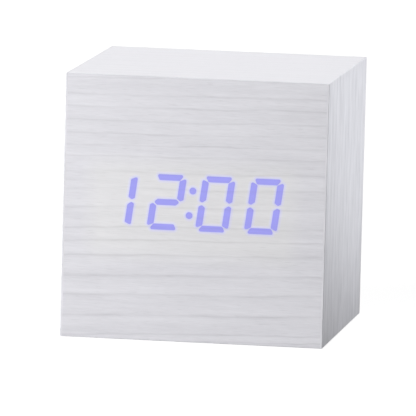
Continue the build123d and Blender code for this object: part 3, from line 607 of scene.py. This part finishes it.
def circuit_board(name):
    """Green solder mask with the faint lighter pattern of copper under it."""
    finish = Finish(name, Specular_IOR_Level=BOARD_GLOSS, Roughness=BOARD_ROUGHNESS)
    inputs = {"Vector": finish.place, "Scale": COPPER_CELLS}
    tracks = finish.node("TexVoronoi", inputs, distance="CHEBYCHEV")
    copper = finish.range(tracks.outputs["Distance"], *COPPER_SPAN, 0.0, 1.0)
    finish.surface("Base Color", finish.blend(copper, BOARD_MASK, BOARD_COPPER))
    finish.relief(copper, COPPER_HEIGHT)
    return finish


def cell_wrap(name, side):
    """Plain shrink wrap with one pale band towards the nub, and bare steel at both ends."""
    finish = Finish(name, Specular_IOR_Level=CELL_GLOSS)
    x, _, _ = finish.axes()
    along = finish.math("MULTIPLY", x, side)
    flecks = finish.noise(finish.stretch(FLECK_STRETCH), FLECKS)
    start = finish.math("GREATER_THAN", along, CELL_BAND[0])
    stop = finish.math("LESS_THAN", along, CELL_BAND[1])
    band = finish.math("MULTIPLY", start, stop)
    wrap = finish.blend(band, finish.blend(flecks, CELL_BODY, CELL_FLECK), CELL_PALE)
    steel = finish.math("GREATER_THAN", finish.math("ABSOLUTE", x), CELL_WRAP_END)
    finish.surface("Base Color", finish.blend(steel, wrap, CELL_STEEL))
    finish.surface("Metallic", finish.range(steel, 0.0, 1.0, CELL_METALLIC, 1.0))
    finish.surface("Roughness", finish.range(flecks, *NOISE_REACH, *CELL_ROUGHNESS))
    return finish


def slot_finishes():
    """A finish for each material slot of the record."""
    finishes = {
        "pale_wood": raw_wood("pale_wood"),
        "black_plastic": moulded_black("black_plastic"),
        "lit_lens": lit_wood("lit_lens"),
        "circuit_board": circuit_board("circuit_board"),
    }
    for name, values in SPECKLED.items():
        finishes[name] = speckled(name, *values)
    for name, values in METALS.items():
        finishes[name] = brushed_metal(name, *values)
    return finishes


def node_finishes():
    """Finishes of single nodes: the veneer of each face, the back's screws and the wrap of each cell."""
    finishes = {
        "front_veneer": front_wood("front_wood"),
        "rear_edging": edging_wood("edging_wood"),
        "back_plate_screws": screw_steel("screw_steel", "back_plate_screws", METALS["zinc_steel"]),
    }
    for face, values in FACES.items():
        finishes[face + "_veneer"] = face_wood(face + "_wood", *values)
    for cell, side in CELL_SIDES.items():
        finishes[cell] = cell_wrap(cell + "_wrap", side)
    return finishes


def dress(node, finish):
    """Gives a node its material, in every slot of its mesh."""
    mesh = frame["nodes"][node].data
    mesh.materials.clear()
    mesh.materials.append(finish.material)


def rounded_outline(corners, radius, grow=0.0):
    """Outline of a convex shape, anticlockwise, with rounded corners and grown by a margin."""
    count = len(corners)
    normals = []
    for index, corner in enumerate(corners):
        edge = (corners[(index + 1) % count] - corner).normalized()
        normals.append(Vector((edge.y, -edge.x)))
    points = []
    for index, corner in enumerate(corners):
        before, after = normals[index - 1], normals[index]
        half = (before + after).normalized()
        centre = corner - half * (radius / half.dot(after))
        start = math.atan2(before.y, before.x)
        turn = before.angle_signed(after)
        for step in range(CORNER_STEPS + 1):
            angle = start - turn * step / CORNER_STEPS
            points.append(centre + Vector((math.cos(angle), math.sin(angle))) * (radius + grow))
    return points


def turned_shape(sides, radius, turn):
    """Corners of a regular shape, anticlockwise, with its first corner at a given turn from level."""
    angles = [math.radians(turn + 360.0 * side / sides) for side in range(sides)]
    return [Vector((math.cos(angle), math.sin(angle))) * radius for angle in angles]


def bar_shape(name):
    """Level segment about its own middle: pointed at both ends in the middle row, mitred in the others."""
    edge = BAR_STROKE / 2
    if name == "g":
        half = MIDDLE_LENGTH / 2
        lower = [(-half, 0), (MIDDLE_SLOPE - half, -edge), (half - MIDDLE_SLOPE, -edge)]
        return lower + [(-u, -v) for u, v in lower]
    half = BAR_LENGTH / 2
    return [(BAR_SLOPE - half, -edge), (half - BAR_SLOPE, -edge), (half, edge), (-half, edge)]


def post_shape(name):
    """Upright segment about its own middle: mitred at the outer end, blunt towards the middle row."""
    half = POST_LENGTH / 2
    edge = POST_STROKE / 2
    shape = [
        (POST_SLOPE - half, -edge),
        (half - BLUNT_RISE, -edge),
        (half, BLUNT_TIP * edge),
        (half - BLUNT_SLOPE, edge),
        (-half, edge),
    ]
    if name in "be":
        return shape
    return [(-u, v) for u, v in reversed(shape)]


def segment_corners(name):
    """Corners of one segment about the middle of its digit, anticlockwise."""
    column, row, turn = SEGMENTS[name]
    shape = post_shape(name) if column else bar_shape(name)
    shift = math.copysign(POST_SHIFT, row) if column else 0.0
    spin = Matrix.Rotation(math.radians(turn), 2)
    middle = Vector((column * COLUMN_SPACING, row * ROW_SPACING + shift))
    placed = [spin @ Vector(point) + middle for point in shape]
    return [Vector((point.x + point.y * DIGIT_SLANT, point.y)) for point in placed]


def lit_outlines(grow):
    """Outlines, in X and Z on the front, of every lit segment and of the colon's dots."""
    outlines = []
    middle = (len(TIME_SHOWN) - 1) / 2
    for index, numeral in enumerate(TIME_SHOWN):
        shift = Vector((DISPLAY_X + (index - middle) * DIGIT_PITCH, DISPLAY_Z))
        for name in NUMERALS[numeral]:
            outline = rounded_outline(segment_corners(name), SEGMENT_ROUND, grow)
            outlines.append([point + shift for point in outline])
    for side in (-1, 1):
        height = side * COLON_OFFSET
        centre = Vector((DISPLAY_X + height * DIGIT_SLANT, DISPLAY_Z + height))
        dot = turned_shape(4 * CORNER_STEPS, COLON_RADIUS + grow, 0.0)
        outlines.append([centre + point for point in dot])
    return outlines


def new_object(name, shape):
    """Object made from a finished bmesh, in the shared frame."""
    bmesh.ops.recalc_face_normals(shape, faces=shape.faces)
    mesh = bpy.data.meshes.new(name)
    shape.to_mesh(mesh)
    shape.free()
    made = bpy.data.objects.new(name, mesh)
    bpy.context.scene.collection.objects.link(made)
    return made


def plates(name, outlines, y_front, y_back):
    """Flat plates of given outlines in X and Z, between two depths, as one object."""
    shape = bmesh.new()
    for outline in outlines:
        face = shape.faces.new([shape.verts.new((point.x, y_back, point.y)) for point in outline])
        pushed = bmesh.ops.extrude_face_region(shape, geom=[face])
        moved = [item for item in pushed["geom"] if isinstance(item, bmesh.types.BMVert)]
        bmesh.ops.translate(shape, verts=moved, vec=(0, y_front - y_back, 0))
    return new_object(name, shape)


def glow_rings(name):
    """Closed rings round the lit segments, flat in front; their glow falls from 1 inside to 0 outside."""
    shape = bmesh.new()
    glow = shape.verts.layers.float.new("glow")
    for inner, outer in zip(lit_outlines(0.0), lit_outlines(GLOW_WIDTH)):
        near = [shape.verts.new((point.x, FRONT_Y - GLOW_PROUD, point.y)) for point in inner]
        root = [shape.verts.new((point.x, FRONT_Y + LIGHT_SINK, point.y)) for point in inner]
        far = [shape.verts.new((point.x, FRONT_Y + GLOW_SINK, point.y)) for point in outer]
        for vertex in near + root:
            vertex[glow] = 1.0
        for first, second in ((near, far), (far, root), (root, near)):
            for index in range(len(near)):
                shape.faces.new((first[index - 1], first[index], second[index], second[index - 1]))
    return new_object(name, shape)


def add_piece(piece, finish, body="case"):
    """Gives a new piece its finish and lets it ride on a body."""
    piece.data.materials.append(finish.material)
    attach(piece, body)


def add_digits(finishes):
    """The lit digits on the front veneer and the pale glow round them."""
    light = plates("digit_light", lit_outlines(0.0), FRONT_Y - LIGHT_PROUD, FRONT_Y + LIGHT_SINK)
    add_piece(light, finishes["lit_lens"])
    add_piece(glow_rings("digit_glow"), glowing_wood("glowing_wood"))


def add_button_marks(finishes):
    """A pale sign in the middle of each button: a dot to set, and arrows up and down."""
    for button, (sides, radius, turn, corner) in BUTTON_MARKS.items():
        low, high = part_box(button)
        middle = Vector(((low.x + high.x) / 2, (low.z + high.z) / 2))
        outline = [middle + point for point in rounded_outline(turned_shape(sides, radius, turn), corner)]
        mark = plates(button + "_mark", [outline], high.y - MARK_SINK, high.y + MARK_RISE)
        add_piece(mark, finishes["white_plastic"], button)


def add_camera():
    """Camera at the photograph's place; its picture is square and tilted a little."""
    back = Vector((
        math.sin(VIEW_TURN) * math.cos(VIEW_HEIGHT),
        -math.cos(VIEW_TURN) * math.cos(VIEW_HEIGHT),
        math.sin(VIEW_HEIGHT),
    ))
    level = (-back).cross(Vector((0, 0, 1))).normalized()
    upright = level.cross(-back)
    right = level * math.cos(VIEW_TILT) + upright * math.sin(VIEW_TILT)
    up = upright * math.cos(VIEW_TILT) - level * math.sin(VIEW_TILT)
    aim = MIDDLE + right * VIEW_SHIFT_RIGHT + up * VIEW_SHIFT_UP
    camera = bpy.data.objects.new("camera", bpy.data.cameras.new("camera"))
    camera.data.lens = VIEW_LENS
    camera.data.sensor_width = VIEW_SENSOR
    camera.data.clip_start = VIEW_NEAR
    camera.data.clip_end = VIEW_FAR
    place = Matrix((right, up, back)).transposed().to_4x4()
    place.translation = aim + back * VIEW_DISTANCE
    camera.matrix_world = place
    bpy.context.scene.collection.objects.link(camera)
    bpy.context.scene.camera = camera


def place_lamp(lamp, place, aim):
    """Puts a lamp in the studio, out of the camera's sight, turned towards a point."""
    lamp.location = place
    lamp.rotation_mode = "QUATERNION"
    lamp.rotation_quaternion = (aim - Vector(place)).to_track_quat("-Z", "Y")
    lamp.visible_camera = False
    bpy.context.scene.collection.objects.link(lamp)


def add_lamp(name, place, size, power):
    """Soft square lamp that looks at the middle of the clock."""
    lamp = bpy.data.objects.new(name, bpy.data.lights.new(name, "AREA"))
    lamp.data.shape = "SQUARE"
    lamp.data.size = size
    lamp.data.energy = power
    place_lamp(lamp, place, MIDDLE)


def add_spot():
    """Soft-edged spot lamp whose light fades down the right side."""
    lamp = bpy.data.objects.new("side_lamp", bpy.data.lights.new("side_lamp", "SPOT"))
    lamp.data.spot_size = SPOT_CONE
    lamp.data.spot_blend = SPOT_BLEND
    lamp.data.shadow_soft_size = SPOT_SIZE
    lamp.data.energy = SPOT_POWER
    lamp.data.color = SPOT_COLOUR
    place_lamp(lamp, SPOT_PLACE, Vector(SPOT_AIM))


def seen_directly(tree):
    """1 on rays that show the background itself, to the camera, in a mirror or through glass."""
    path = tree.nodes.new("ShaderNodeLightPath")
    seen = path.outputs["Is Camera Ray"]
    for other in ("Is Glossy Ray", "Is Transmission Ray"):
        most = tree.nodes.new("ShaderNodeMath")
        most.operation = "MAXIMUM"
        tree.links.new(seen, most.inputs[0])
        tree.links.new(path.outputs[other], most.inputs[1])
        seen = most.outputs[0]
    return seen


def mix_by_sight(tree, unseen, seen, output):
    """Leads one shader to the tree's output where it is seen directly, and another elsewhere."""
    choice = tree.nodes.new("ShaderNodeMixShader")
    tree.links.new(seen_directly(tree), choice.inputs[0])
    tree.links.new(unseen.outputs[0], choice.inputs[1])
    tree.links.new(seen.outputs[0], choice.inputs[2])
    tree.links.new(choice.outputs[0], tree.nodes[output].inputs["Surface"])


def add_world():
    """White where it is seen, and an even soft light elsewhere."""
    world = bpy.data.worlds.new("studio")
    world.use_nodes = True
    tree = world.node_tree
    ambient = tree.nodes["Background"]
    ambient.inputs["Color"].default_value = WHITE
    ambient.inputs["Strength"].default_value = AMBIENT
    white = tree.nodes.new("ShaderNodeBackground")
    white.inputs["Color"].default_value = WHITE
    white.inputs["Strength"].default_value = 1.0
    mix_by_sight(tree, ambient, white, "World Output")
    bpy.context.scene.world = world


def grey_matt(tree, grey):
    """Matt shader of one grey."""
    made = tree.nodes.new("ShaderNodeBsdfDiffuse")
    made.inputs["Color"].default_value = (grey, grey, grey, 1.0)
    return made


def floor_material():
    """Pale floor that looks white, keeps a soft shadow and sends some light back up."""
    material = bpy.data.materials.new("pale_floor")
    material.use_nodes = True
    tree = material.node_tree
    tree.nodes.remove(tree.nodes["Principled BSDF"])
    glow = tree.nodes.new("ShaderNodeEmission")
    glow.inputs["Strength"].default_value = FLOOR_GLOW
    shown = tree.nodes.new("ShaderNodeAddShader")
    tree.links.new(grey_matt(tree, FLOOR_SHADOW).outputs[0], shown.inputs[0])
    tree.links.new(glow.outputs[0], shown.inputs[1])
    mix_by_sight(tree, grey_matt(tree, FLOOR_BOUNCE), shown, "Material Output")
    return material


def add_floor():
    """Wide flat floor under the clock."""
    mesh = bpy.data.meshes.new("floor")
    reach = FLOOR_SIZE / 2
    corners = [(-reach, -reach, 0), (reach, -reach, 0), (reach, reach, 0), (-reach, reach, 0)]
    mesh.from_pydata(corners, [], [(0, 1, 2, 3)])
    mesh.materials.append(floor_material())
    floor = bpy.data.objects.new("floor", mesh)
    bpy.context.scene.collection.objects.link(floor)


def main():
    """Dresses every node, adds the digits and the buttons' signs, and sets up the studio."""
    by_slot = slot_finishes()
    by_node = node_finishes()
    for part in frame["record"]["subparts"]:
        node = part["node"]
        dress(node, by_node[node] if node in by_node else by_slot[part["material_slot"]])
    add_digits(by_slot)
    add_button_marks(by_slot)
    add_camera()
    for name, (place, size, power) in LAMPS.items():
        add_lamp(name, place, size, power)
    add_spot()
    add_world()
    add_floor()
    bpy.context.scene.view_settings.view_transform = "Standard"


main()
